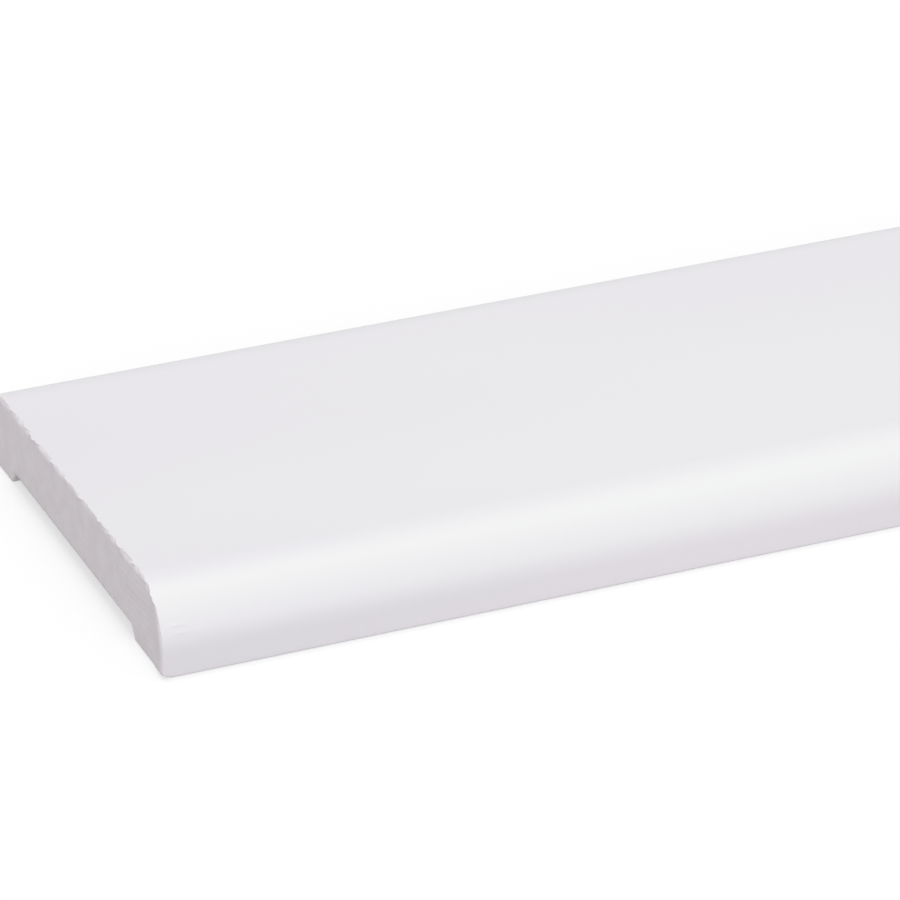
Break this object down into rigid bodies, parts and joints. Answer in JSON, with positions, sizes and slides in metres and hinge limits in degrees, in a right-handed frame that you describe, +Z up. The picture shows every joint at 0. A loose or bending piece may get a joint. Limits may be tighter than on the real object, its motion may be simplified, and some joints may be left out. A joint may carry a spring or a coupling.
{
  "type": "flat trim strip",
  "caption": "Long white flat trim strip with a rounded front edge, a square rear edge and a shallow relief in its back between two lips, for covering joints round doors, windows and walls.",
  "frame": {"origin": "middle of the footprint, level with the feet of the two back lips", "axes": "+X along the length, +Y across from the rounded edge to the square edge, +Z up out of the face"},
  "size_m": [2.4384, 0.0826, 0.0143],
  "materials": {
    "cellular_pvc": "satin extruded skin, sawn ends"
  },
  "bodies": {
    "root": {"trim_strip": "cellular_pvc"}
  },
  "joints": []
}
